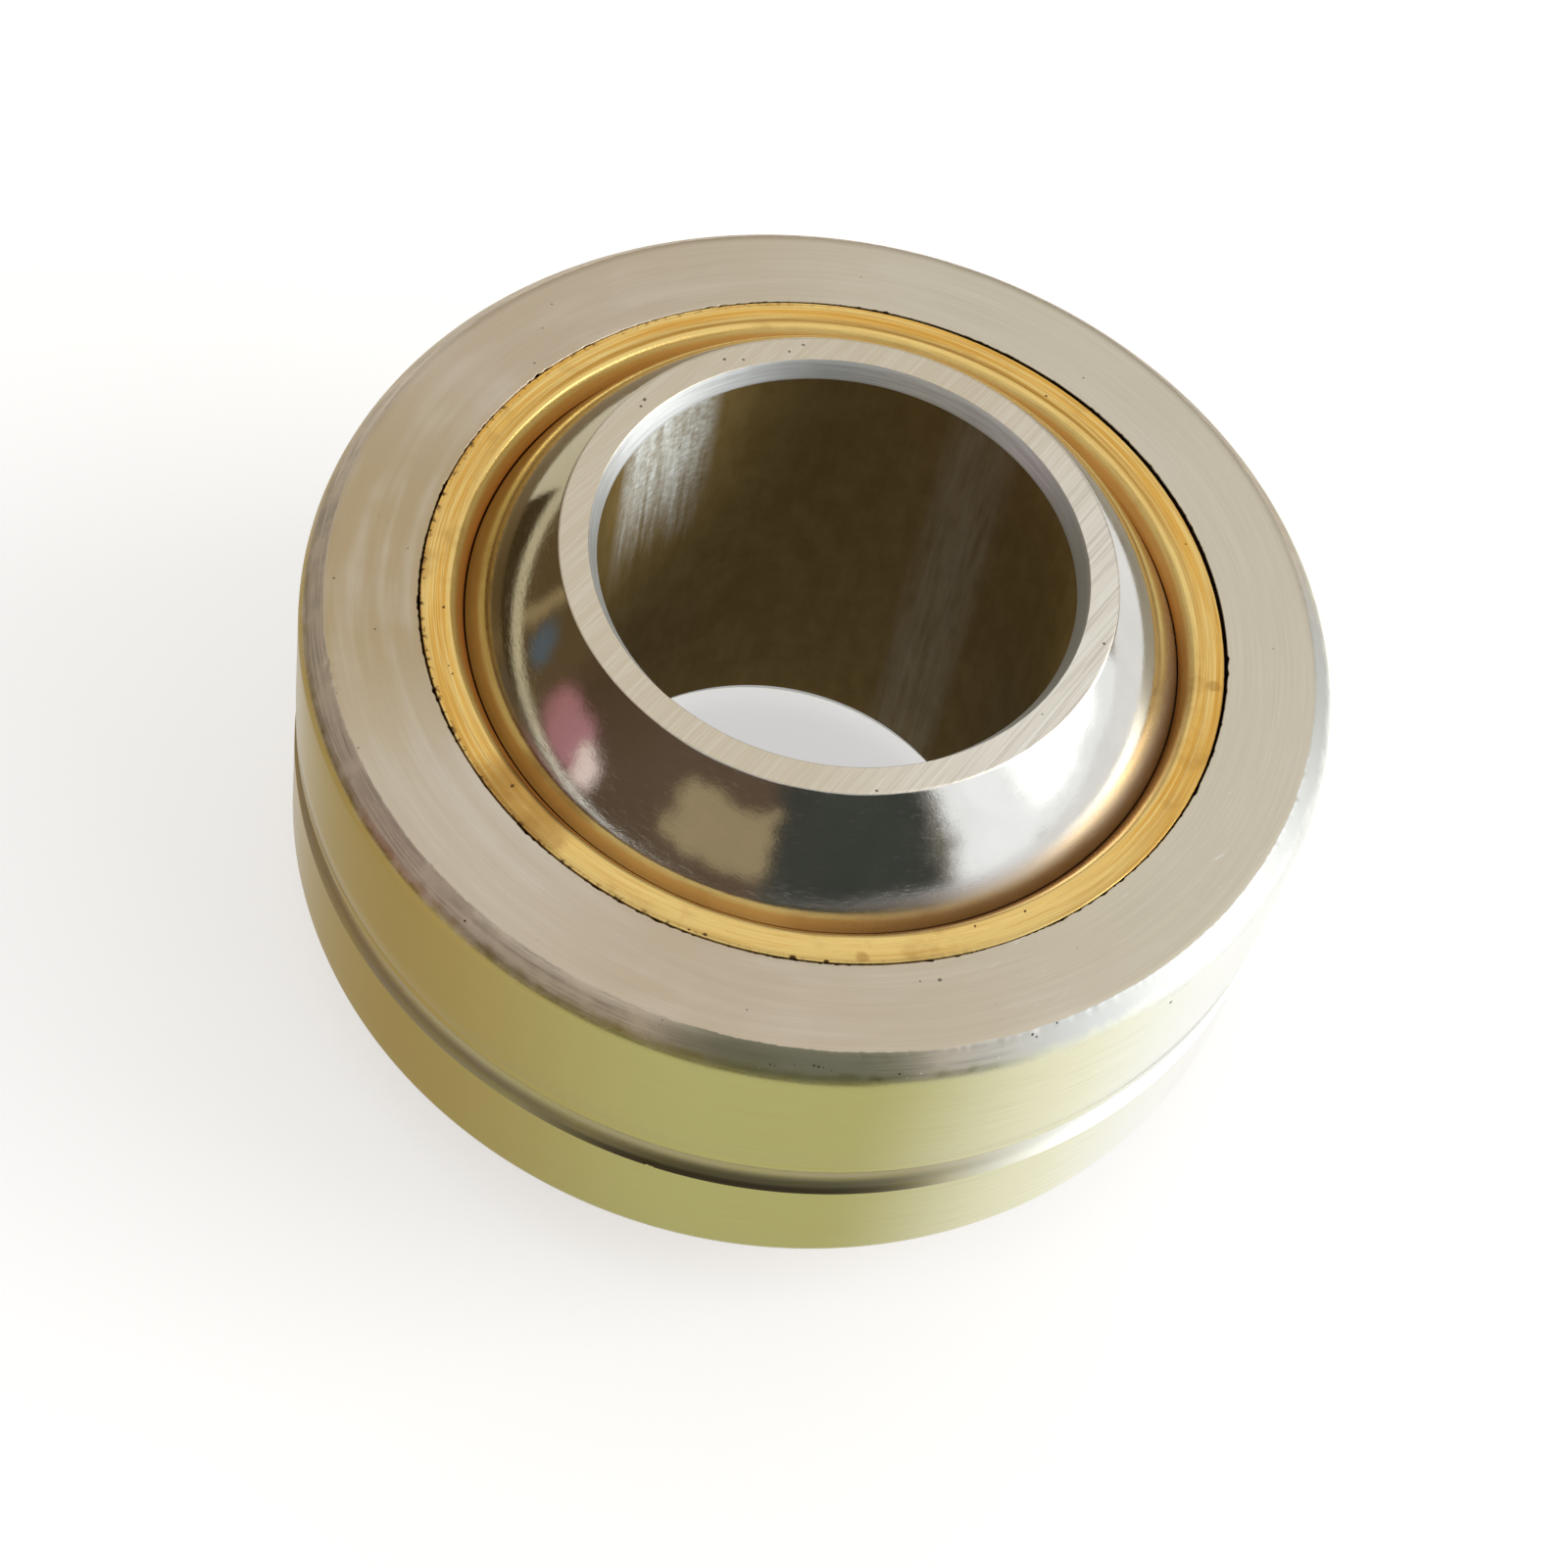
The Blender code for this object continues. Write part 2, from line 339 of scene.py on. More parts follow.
steel = {
    "faceFront": (0.65, 0.535, 0.395),
    # faceLeft is painted shade on the left of the face and faceRight painted light on its right; faceLight is
    # a paler tone in patches and painted light towards the front left
    "faceLeft": (0.56, 0.43, 0.255),
    "faceRight": (0.76, 0.70, 0.56),
    "faceLight": (0.82, 0.76, 0.65),
    "chamfer": (0.79, 0.69, 0.55),
    "chamferDark": (0.47, 0.41, 0.33),
    # olive, amber, cream and white paint a reflection onto the side: amber is its painted shade, cream and
    # white its painted highlight; white also paints glints elsewhere
    "olive": (0.410, 0.388, 0.148),
    "amber": (0.35, 0.245, 0.075),
    "cream": (0.84, 0.83, 0.62),
    "white": (0.94, 0.95, 0.91),
    # chamferRight is a neutral tone painted on the right of the chamfer, where its highlight falls
    "chamferRight": (0.62, 0.63, 0.61),
    "straw": (0.50, 0.45, 0.32),
    # the groove's tones by side are painted reflection: mauve round most of it, moss in front; mossDark is
    # painted shade low in the groove in front
    "mauve": (0.60, 0.465, 0.21),
    "moss": (0.50, 0.455, 0.20),
    "mossDark": (0.055, 0.06, 0.028),
    "shade": (0.265, 0.27, 0.18),
    # dirt in pits, nicks and marks, and also the painted shade along the foot of the groove in front
    "grimeAndShade": (0.05, 0.035, 0.022),
    # where a tone comes in: direction round the ring in degrees, and the cosines from none to full
    "strawAt": (90, 0.0, 0.9),
    "amberAt": (204, 0.40, 0.97),
    "creamAt": (-14, 0.48, 0.88),
    "whiteAt": (-14, 0.80, 0.97),
    "faceRightAt": (25, -0.6, 0.8),
    "faceLeftAt": (194, 0.78, 1.0),
    "faceLightAt": (-130, 0.86, 1.0),
    "scoredAt": (-34, 0.88, 0.98),
    "shadeAt": (-82, 0.955, 0.995),
    "chamferRightAt": (-20, 0.62, 0.88),
    "mossAt": (-72, 0.30, 0.80),
    "grooveWhiteAt": (-18, 0.64, 0.94),
    "mossDarkAt": (-82, 0.93, 0.995),
    "recessShadeAt": (-86, 0.90, 0.99),
    # roughness: how much the patches add, and the least of it
    "faceRough": (0.10, 0.30),
    "rimRough": (0.10, 0.46),
    "sideRough": (0.10, 0.13),
    "runRough": -0.28,        # change of the rim's roughness where it runs out into the side
    "runWave": 1.1,           # how far that edge wanders, in mm
    # depth of the turned marks in mm
    "faceGrain": 0.003,
    "rimGrain": 0.004,
    "sideGrain": 0.0005,
    "grooveGrain": 0.003,
    "seatGrain": 0.01,
    "seat": (0.14, 0.10, 0.07),
    "oldGrease": (0.22, 0.16, 0.10),
    "rimBrushed": 0.5,
    "sideBrushed": 0.4,
    "faceMarks": [            # angle, radius, height, size
        (-167.7, 30.9, 12.5, 0.10), (-160.3, 28.4, 12.5, 0.08), (-144.2, 31.3, 12.5, 0.08),
        (-88.1, 29.5, 12.5, 0.07), (-154.5, 31.5, 12.5, 0.12), (-151.8, 31.45, 12.5, 0.09),
        (-173.5, 26.6, 12.5, 0.08), (-64.5, 27.0, 12.5, 0.14), (-67.0, 26.9, 12.5, 0.08),
        (139.5, 29.7, 12.5, 0.09), (143.0, 28.4, 12.5, 0.07), (148.0, 26.5, 12.5, 0.08),
        (62.0, 27.4, 12.5, 0.08), (96.5, 28.4, 12.5, 0.06),
    ],
    "rimMarks": [
        (-120.4, 32.2, 11.75, 0.10), (-96.6, 31.65, 12.35, 0.07), (-96.7, 31.9, 12.15, 0.06),
        (-84.6, 32.33, 11.66, 0.07), (-84.1, 32.35, 11.64, 0.06), (-82.1, 32.2, 11.8, 0.05),
        (-80.1, 32.15, 11.85, 0.08), (-79.6, 32.17, 11.83, 0.09), (-79.1, 32.2, 11.8, 0.06),
        (-78.2, 32.3, 11.7, 0.05), (-71.1, 32.43, 11.57, 0.08), (-56.2, 31.7, 12.3, 0.10),
        (-55.8, 31.85, 12.15, 0.09), (-53.2, 31.55, 12.45, 0.08), (-39.0, 32.98, 10.46, 0.13),
    ],
    "sideMarks": [
        (-98.2, 32.95, -2.84, 0.08), (-97.5, 32.95, -2.84, 0.07), (-94.9, 32.95, -2.90, 0.10),
        (-94.3, 32.95, -2.92, 0.11), (-93.7, 32.95, -2.92, 0.08), (-158.0, 32.95, -8.0, 0.16),
    ],
    # painted glints: small white spots on the chamfer
    "rimGlints": [
        (-85.6, 32.5, 11.45, 0.06), (-70.3, 32.55, 11.35, 0.07), (-68.8, 32.45, 11.5, 0.06),
        (-60.3, 32.3, 11.7, 0.06), (-97.6, 32.6, 11.3, 0.06),
        (-96.2, 32.65, 11.2, 0.06), (-123.0, 31.6, 12.45, 0.07),
    ],
}


def sidePaintedReflection(tree, unit):
    # painted reflection: straw tone at the back, olive in front, a darker amber painted shade to the left,
    # running out to a pale painted highlight on the right
    return tintSides(tree, steel["olive"], unit, steel, ("straw", "amber", "cream", "white"))


def edgeTint(tree, shader, colour):
    # the tone of the steel where it is seen at a low angle: the same hue, paler
    pale = add(tree, "Gamma", {"Color": colour, "Gamma": 0.2}).outputs[0]
    tree.links.new(pale, shader.inputs["Specular Tint"])


def makeTurnedFace():
    tree, shader = newFinish("turnedFace", steel["faceFront"], 0.34)
    unit, radius, _, scaled = ringPlaces(tree)
    fine = ringMarks(tree, unit, radius, around=3.0, fineness=8.0, detail=4.0, roughness=0.65)
    broad = ringMarks(tree, unit, radius, around=2.0, fineness=0.9, detail=2.0, roughness=0.5, seed=7.0)
    patches = cloud(tree, scaled, size=9.0)
    # painted shade to the left of the face and painted light to its right
    colour = tintSides(tree, steel["faceFront"], unit, steel, ("faceRight", "faceLeft"))
    lighter = between(tree, calc(tree, "ADD", broad, patches), 0.85, 1.35)
    colour = tint(tree, colour, lighter, steel["faceLight"], 0.45)
    # painted light towards the front left
    colour = tint(tree, colour, toward(tree, unit, *steel["faceLightAt"]), steel["faceLight"], 0.30)
    colour = tint(tree, colour, between(tree, fine, 0.62, 0.36), steel["chamferDark"], 0.16)
    # scratch lines painted white as glints, only towards the right front where the light catches them
    scored = between(tree, scoredLines(tree, scaled, degrees=52, apartBy=0.35, length=3.0), 0.64, 0.70)
    scored = times(tree, scored, toward(tree, unit, *steel["scoredAt"]))
    colour = tint(tree, colour, scored, steel["white"], 0.6)
    specks = between(tree, cloud(tree, scaled, size=0.32, detail=2.0, roughness=0.5, seed=3.0), 0.72, 0.78)
    rare = between(tree, cloud(tree, scaled, size=6.0, detail=1.0, roughness=0.5, seed=11.0), 0.52, 0.60)
    pits = most(tree, times(tree, specks, rare, 0.5), marksAt(tree, scaled, steel["faceMarks"]))
    colour = tint(tree, colour, pits, steel["grimeAndShade"], 0.75)
    dress(tree, shader, colour, fine, steel["faceGrain"], ease(tree, patches, *steel["faceRough"]))


def makeRimSteel():
    # chamfer and its blend, worn dull, running out softly into the ground side
    tree, shader = newFinish("rimSteel", steel["chamfer"], 0.30)
    unit, _, height, scaled = ringPlaces(tree)
    fine = ringMarks(tree, unit, height, around=5.0, fineness=9.0, detail=4.0, roughness=0.7)
    patches = cloud(tree, scaled, size=2.2, detail=4.0)
    colour = tint(tree, steel["chamfer"], between(tree, fine, 0.66, 0.30), steel["chamferDark"])
    colour = tint(tree, colour, between(tree, patches, 0.40, 0.75), steel["chamfer"])
    colour = tint(tree, colour, toward(tree, unit, *steel["shadeAt"]), steel["shade"], 0.85)
    # a neutral tone painted on the right, where the chamfer's highlight falls
    colour = tintSides(tree, colour, unit, steel, ["chamferRight"])
    wave = ringMarks(tree, unit, height, around=22.0, fineness=1.2, detail=4.0, roughness=0.65, seed=3.0)
    depth = ease(tree, wave, steel["runWave"], calc(tree, "ABSOLUTE", height))
    run = between(tree, depth, outerHalf - 0.15, outerHalf - 1.15)
    # below the chamfer, the side's painted reflection takes over
    colour = tint(tree, colour, run, sidePaintedReflection(tree, unit))
    colour = tint(tree, colour, marksAt(tree, scaled, steel["rimMarks"]), steel["grimeAndShade"], 0.92)
    # painted glints on the chamfer
    colour = tint(tree, colour, marksAt(tree, scaled, steel["rimGlints"]), steel["white"])
    rough = ease(tree, run, steel["runRough"], ease(tree, patches, *steel["rimRough"]))
    dress(tree, shader, colour, fine, steel["rimGrain"], rough)
    edgeTint(tree, shader, colour)
    brushedRound(tree, shader, steel["rimBrushed"])


def makeGroundSide():
    tree, shader = newFinish("groundSide", steel["olive"], 0.16)
    unit, _, height, scaled = ringPlaces(tree)
    fine = ringMarks(tree, unit, height, around=5.0, fineness=8.0)
    patches = cloud(tree, scaled, size=11.0)
    streak = times(tree, between(tree, fine, 0.62, 0.30), 0.12)
    turned = between(tree, ringMarks(tree, unit, height, around=1.6, fineness=5.0, seed=6.0), 0.52, 0.40)
    nearGroove = band(tree, height, grooveTop - 0.3, grooveTop, grooveTop + 0.3, grooveTop + 2.0)
    turned = times(tree, turned, nearGroove, 0.30)
    # the side's painted reflection, with amber streaks of its grain
    colour = tint(tree, sidePaintedReflection(tree, unit), most(tree, streak, turned), steel["amber"])
    colour = tint(tree, colour, marksAt(tree, scaled, steel["sideMarks"]), steel["grimeAndShade"], 0.9)
    dress(tree, shader, colour, fine, steel["sideGrain"], ease(tree, patches, *steel["sideRough"]))
    edgeTint(tree, shader, colour)
    brushedRound(tree, shader, steel["sideBrushed"])


def makeGrooveSteel():
    tree, shader = newFinish("grooveSteel", steel["mauve"], 0.50)
    unit, _, height, scaled = ringPlaces(tree)
    fine = ringMarks(tree, unit, height, around=5.0, fineness=8.0)
    # painted reflection: mauve round most of the groove, moss in front
    colour = tintSides(tree, steel["mauve"], unit, steel, ["moss"])
    colour = tint(tree, colour, between(tree, fine, 0.66, 0.36), steel["chamferDark"], 0.6)
    # painted highlight on the right of the groove
    colour = tint(tree, colour, toward(tree, unit, *steel["grooveWhiteAt"]), steel["white"])
    upper = between(tree, height, grooveMiddle - 0.4, grooveMiddle + 0.6)
    # the groove's upper half takes the side's painted reflection
    colour = tint(tree, colour, upper, sidePaintedReflection(tree, unit))
    # painted shade low in the groove in front, and a darker line of painted shade at its foot
    low = between(tree, height, grooveLow + 0.95, grooveLow + 0.25)
    low = times(tree, low, toward(tree, unit, *steel["mossDarkAt"]))
    colour = tint(tree, colour, low, steel["mossDark"], 0.62)
    recessShade = between(tree, height, grooveLow + 0.30, grooveLow + 0.12)
    recessShade = times(tree, recessShade, toward(tree, unit, *steel["recessShadeAt"]))
    colour = tint(tree, colour, recessShade, steel["grimeAndShade"], 0.85)
    colour = tint(tree, colour, marksAt(tree, scaled, steel["sideMarks"]), steel["grimeAndShade"])
    dress(tree, shader, colour, fine, steel["grooveGrain"])
    edgeTint(tree, shader, colour)


def makeSeatSteel():
    # the hidden seat and the bore of the lip, where old grease has gone dark
    tree, shader = newFinish("seatSteel", steel["seat"], 0.5)
    scaled = ringPlaces(tree)[3]
    patches = cloud(tree, scaled, size=0.8, detail=4.0)
    colour = blendColour(tree, patches, steel["grimeAndShade"], steel["oldGrease"])
    dress(tree, shader, colour, patches, steel["seatGrain"])


# outer ring mesh

outerDetail = {
    "around": 1024,
    "blend": 1.9,             # radius of the blend from chamfer to side
    "edgeBreak": 0.03,
    "lipRound": 0.12,
    "lipGap": 0.02,           # between the lip's edge and the brass
    "lipOpen": 0.24,          # how much wider the gap is on its open side
    "lipOpenAt": 42.0,
    "lipOpenReach": 88.0,
    "lipOpenBelow": 0.2,      # share of that on the underside, all the way round
    "gapAt": -166,            # a second place where the gap is open
    "gapReach": 34,
    "gapOpen": 0.42,
    "lipRagged": 0.13,
    "edgeRagged": 0.075,
    # ragged waves: how many lie along the ring, seed and share
    "lipWaves": ((60, 1.0, 0.6), (9, 2.0, 0.5)),
    "edgeWaves": ((110, 4.0, 0.7), (16, 5.0, 0.5)),
    "softAbove": 2.55,        # width of the shallow run down to the groove
    "softDrop": 0.05,
    "scribeAt": 0.60,         # fine line turned just above the groove
    "scribeDepth": 0.022,
    "scribeWidth": 0.16,
    "nicks": [                # angle, radius, height, width, depth; a burr has a depth below zero
        (-156.2, 31.6, 12.45, 0.45, 0.12), (-154.4, 31.55, 12.45, 0.35, 0.10),
        (-152.8, 31.5, 12.5, 0.40, 0.10), (-94.4, 32.95, -2.90, 0.45, 0.10),
        (-125.8, 31.55, 12.5, 0.22, -0.09), (-123.9, 31.55, 12.5, 0.16, -0.07),
        (-121.6, 31.6, 12.5, 0.26, -0.10), (-119.6, 31.6, 12.5, 0.16, -0.06),
        (-127.5, 31.55, 12.5, 0.30, 0.10),
    ],
    "stepStart": -120.4,      # where the tool left a step along the chamfer
    "stepEnd": -62.0,
    "stepHeight": 0.085,
}

chamferWidth = outerRadius - outerDetail["blend"] * (1 - math.cos(math.radians(45))) - cornerRadius
chamferFoot = outerHalf - chamferWidth
blendFoot = chamferFoot - outerDetail["blend"] * math.sin(math.radians(45))
brassRim = neckRadius + 0.06


def outerRuns():
    detail = outerDetail
    lip, soft, edge = brassRim + detail["lipGap"], detail["lipRound"], detail["edgeBreak"]
    top = [
        ("seatSteel", [(seatRadius, 2.0), (seatRadius, seatTop), (lipBore + 0.1, lipLand),
                       (lip + 0.02, lipLand + 0.1), (lip, outerHalf - soft)]),
        ("turnedFace", arc((lip + soft, outerHalf - soft), soft, 180, 90, 4)
         + line((lip + soft, outerHalf), (cornerRadius - edge, outerHalf), 11)[1:]),
        ("rimSteel", line((cornerRadius - edge, outerHalf), (cornerRadius + edge, outerHalf - edge), 1)
         + line((cornerRadius + edge, outerHalf - edge), (cornerRadius + chamferWidth, chamferFoot), 8)[1:]
         + arc((outerRadius - detail["blend"], blendFoot), detail["blend"], 45, 0, 8)[1:]),
    ]
    across = grooveTop - grooveLow
    deep = outerRadius - grooveFloor
    curve = (across * across / 4 + deep * deep) / (2 * deep)
    reach = math.degrees(math.asin(across / 2 / curve))
    middle = (grooveFloor + curve, grooveMiddle)
    softTop = grooveTop + detail["softAbove"]
    scribe, half = detail["scribeAt"], detail["scribeWidth"] / 2
    shallow = outerRadius - detail["softDrop"]
    lipOfGroove = (shallow - 0.04, grooveTop - 0.04)
    side = [
        ("groundSide", line((outerRadius, blendFoot), (outerRadius, softTop), 3)
         + [(shallow, scribe + half), (shallow - detail["scribeDepth"], scribe), (shallow, scribe - half),
            (shallow, grooveTop + 0.1), lipOfGroove]),
        ("grooveSteel", [lipOfGroove] + arc(middle, curve, 180 - reach, 180 + reach, 10)[1:]),
        ("groundSide", line((outerRadius, grooveLow), (outerRadius, -blendFoot), 4)),
    ]
    return top + side + flipped(top)


def waves(angle, layers):
    return sum(ripple(angle, along, seed) * share for along, seed, share in layers)


def outerShape(angle, r, z):
    detail = outerDetail
    degrees = math.degrees(math.atan2(math.sin(angle), math.cos(angle)))
    if r < lipRadius + 0.6 and abs(z) > lipLand - 0.1:
        near = bump(r - brassRim, 0.9)
        ragged = max(0.0, waves(angle, detail["lipWaves"]) - 0.08)
        opened = detail["lipOpenBelow"]
        if z > 0:
            opened = bump(apart(degrees, detail["lipOpenAt"]), detail["lipOpenReach"])
        second = bump(apart(degrees, detail["gapAt"]), detail["gapReach"])
        opened += detail["gapOpen"] * second * (0.5 + abs(ripple(angle, 24, 14.0)))
        r += near * (detail["lipRagged"] * ragged * 1.5 + detail["lipOpen"] * opened)
        z += math.copysign(0.03 * abs(ripple(angle, 80, 3.0)) * near, z)
    edge = bump(math.hypot(r - cornerRadius, abs(z) - outerHalf), 0.5)
    if edge > 0:
        r += detail["edgeRagged"] * waves(angle, detail["edgeWaves"]) * edge
    if z > blendFoot and detail["stepStart"] < degrees < detail["stepEnd"]:
        share = (r - cornerRadius) / chamferWidth
        fade = 1 - smooth(degrees, detail["stepStart"] + 12, detail["stepEnd"])
        lift = detail["stepHeight"] * fade * bump(share - 0.40, 0.40)
        r += lift * 0.7
        z += lift * 0.7
    for nickAngle, nickR, nickZ, width, depth in detail["nicks"]:
        turn = math.radians(degrees - nickAngle) * nickR
        if abs(turn) < width:
            near = math.sqrt(turn * turn + ((r - nickR) ** 2 + (z - nickZ) ** 2) * 1.6)
            sink = depth * bump(near, width)
            r -= sink * 0.75
            z -= math.copysign(sink * 0.5, z) if abs(z) > 8 else 0
    return min(r, outerRadius), min(outerHalf, max(-outerHalf, z))


# race liner

brass = {
    "gold": (0.95, 0.57, 0.135),
    # bright is a paler tone in bands, and the painted highlight on the ridge
    "bright": (1.0, 0.74, 0.28),
    # painted shade on the slope of the mouth, a deeper orange
    "recessShade": (0.86, 0.43, 0.11),
    "deep": (0.68, 0.34, 0.055),
    "brown": (0.42, 0.21, 0.045),
    "soot": (0.10, 0.045, 0.015),
    # red is the painted shade in the gap to the ball
    "red": (0.14, 0.035, 0.012),
    # where a tone comes in: direction round the ring in degrees, and the cosines from none to full
    "brightAt": (-80, 0.45, 0.92),
    "wornAt": (-128, 0.984, 0.998),
    "sootAt": (195, -0.6, 0.9),
    "brownAt": (-32, 0.55, 0.92),
    "chatterAt": (125, 0.2, 0.8),
    "rough": (0.12, 0.20),    # how much the patches add, and the least of it
    "insideRough": 0.20,      # what the mouth adds to that
    "chatter": 1.6,           # depth of the tool's chatter on the ridge, against the fine marks
    "grain": 0.006,           # depth of the turned marks in mm
    "marks": [                # angle, radius, height, size
        (-163.9, 24.1, 12.45, 0.13), (-152.0, 24.2, 12.45, 0.12), (-153.5, 24.3, 12.45, 0.09),
        (-95.5, 25.3, 12.45, 0.20), (-97.8, 25.35, 12.45, 0.12), (-83.5, 25.45, 12.45, 0.30),
        (-79.0, 25.5, 12.45, 0.20), (-57.0, 23.95, 12.45, 0.10), (-49.0, 24.1, 12.45, 0.12),
        (-131.0, 24.2, 12.45, 0.16), (30.0, 24.9, 12.45, 0.10), (64.0, 24.4, 12.45, 0.12),
    ],
    "stains": [
        (-134.5, 24.9, 12.4, 1.4), (-130.0, 24.6, 12.4, 2.1), (-125.0, 24.4, 12.4, 1.9),
        (-121.0, 24.8, 12.4, 1.1), (-74.0, 25.0, 12.4, 0.5), (4.0, 24.9, 12.4, 0.5),
    ],
}

linerDetail = {
    "around": 1024,
    "rimRound": 0.05,
    "rimWidth": 0.10,
    "rimRagged": 0.025,
    "dish": 0.085,            # how far the face is dished between its rim and the ridge
    "dishShort": 0.14,        # how far from the rim it ends
    "dishSteps": 8,
    "ridgeOut": 0.40,
    # the rounded shoulder from the mouth up to the ridge: out from the mouth, below the face
    "shoulder": [(0.05, 0.88), (0.25, 0.57), (0.45, 0.30), (0.62, 0.11), (0.76, 0.02)],
    "ballGap": 0.05,
    "mouthIn": 0.12,          # how far the lip of the mouth reaches in towards the ball
    "wander": 0.03,
}


def makeBrass():
    tree, shader = newFinish("turnedBrass", brass["gold"], 0.27)
    unit, radius, height, scaled = ringPlaces(tree)
    fine = ringMarks(tree, unit, radius, around=2.5, fineness=9.0, detail=4.0)
    bands = ringMarks(tree, unit, radius, around=1.2, fineness=2.6, seed=4.0)
    patches = cloud(tree, scaled, size=3.5, detail=4.0)
    colour = tint(tree, brass["gold"], between(tree, bands, 0.38, 0.60), brass["bright"])
    colour = tint(tree, colour, between(tree, fine, 0.60, 0.34), brass["deep"], 0.7)
    # painted highlight along the ridge, and painted light across the front of the brass
    ridgeHighlight = band(tree, radius, ridgeRadius - 0.40, ridgeRadius - 0.20, ridgeRadius + 0.25, ridgeRadius + 0.45)
    ridgeHighlight = most(tree, ridgeHighlight, times(tree, toward(tree, unit, *brass["brightAt"]), 0.95))
    colour = tint(tree, colour, ridgeHighlight, brass["bright"], 0.85)
    lines = ringMarks(tree, unit, radius, around=4.0, fineness=6.0, detail=4.0, roughness=0.7, seed=21.0)
    colour = tint(tree, colour, between(tree, lines, 0.54, 0.38), brass["deep"], 0.34)
    colour = tint(tree, colour, between(tree, patches, 0.55, 0.78), brass["brown"], 0.45)
    stain = times(tree, marksAt(tree, scaled, brass["stains"], ragged=1.2), 0.5)
    worn = times(tree, toward(tree, unit, *brass["wornAt"]), ease(tree, patches, 1.0, 0.3))
    colour = tint(tree, colour, most(tree, stain, worn), brass["brown"])
    # painted shade: a deeper orange on the slope of the mouth below the face
    inside = band(tree, height, 0.0, 6.0, outerHalf - 0.60, outerHalf - 0.22)
    colour = tint(tree, colour, inside, brass["recessShade"], 0.8)
    # painted shade: browner on the mouth's slope towards the right front
    dim = times(tree, inside, toward(tree, unit, *brass["brownAt"]))
    colour = tint(tree, colour, dim, brass["brown"], 0.75)
    # painted shade: a dark red line at the foot of the mouth, in the gap to the ball
    foot = between(tree, height, mouthHeight - 0.25, mouthHeight - 0.34)
    colour = tint(tree, colour, foot, brass["red"], 0.9)
    blots = between(tree, cloud(tree, scaled, size=0.5, detail=4.0, roughness=0.65, seed=9.0), 0.50, 0.62)
    rim = between(tree, radius, brassRim - 0.42, brassRim - 0.02)
    soiled = times(tree, rim, blots, toward(tree, unit, *brass["sootAt"]))
    edge = times(tree, between(tree, radius, brassRim - 0.10, brassRim), 0.55)
    soiled = most(tree, soiled, edge, marksAt(tree, scaled, brass["marks"]))
    colour = tint(tree, colour, soiled, brass["soot"])
    chatter = ringMarks(tree, unit, radius, around=95.0, fineness=0.8, detail=2.0, roughness=0.5, seed=6.0)
    onRidge = band(tree, radius, ridgeRadius - 0.3, ridgeRadius + 0.1, ridgeRadius + 0.4, ridgeRadius + 0.9)
    onRidge = times(tree, onRidge, toward(tree, unit, *brass["chatterAt"]))
    relief = ease(tree, times(tree, chatter, onRidge), brass["chatter"], fine)
    rough = ease(tree, inside, brass["insideRough"], ease(tree, patches, *brass["rough"]))
    dress(tree, shader, colour, relief, brass["grain"], rough)


def linerRuns():
    detail = linerDetail
    raceRadius = ballRadius + detail["ballGap"]
    mouthLip = mouthRadius - detail["mouthIn"]
    mouth = (mouthLip, math.sqrt(raceRadius ** 2 - mouthLip ** 2))
    mouthAngle = math.degrees(math.atan2(mouth[1], mouth[0]))
    ridgeEnd = ridgeRadius + detail["ridgeOut"]
    rimIn = brassRim - detail["rimRound"] - detail["rimWidth"]
    dishRun = rimIn - detail["dishShort"] - ridgeEnd
    dish = []
    for i in range(1, detail["dishSteps"]):
        t = i / detail["dishSteps"]
        sunk = outerHalf - 0.02 - detail["dish"] * math.sin(math.pi * t) ** 0.7
        dish.append((ridgeEnd + dishRun * t, sunk))
    ridge = [(mouthRadius + drop, outerHalf - fall) for drop, fall in detail["shoulder"]]
    ridge += [(ridgeRadius + 0.28, outerHalf), (ridgeEnd, outerHalf - 0.015)]
    rim = [(rimIn - 0.10, outerHalf - 0.05), (rimIn, outerHalf - 0.005),
           (rimIn + detail["rimWidth"], outerHalf), (brassRim, outerHalf - detail["rimRound"]),
           (brassRim, outerHalf - 0.5), (neckRadius, lipLand - 0.05), (linerRadius, linerTop)]
    top = arc((0, 0), raceRadius, 0, mouthAngle, 12) + line(mouth, ridge[0], 4)[1:] + ridge[1:]
    outside = [(linerRadius, linerTop), (linerRadius, -linerTop)]
    half = [("turnedBrass", top + dish + rim)]
    return half + [("turnedBrass", outside)] + flipped(half)


def linerShape(angle, r, z):
    if abs(z) > mouthHeight - 0.5 and r < neckRadius + 0.2:
        r += linerDetail["wander"] * ripple(angle, 6, 8.0, 2) * bump(r - ridgeRadius, 0.8)
        nearRim = smooth(r, neckRadius - 0.3, neckRadius)
        r -= linerDetail["rimRagged"] * abs(ripple(angle, 70, 9.0)) * nearRim
    return r, z


# inner ring

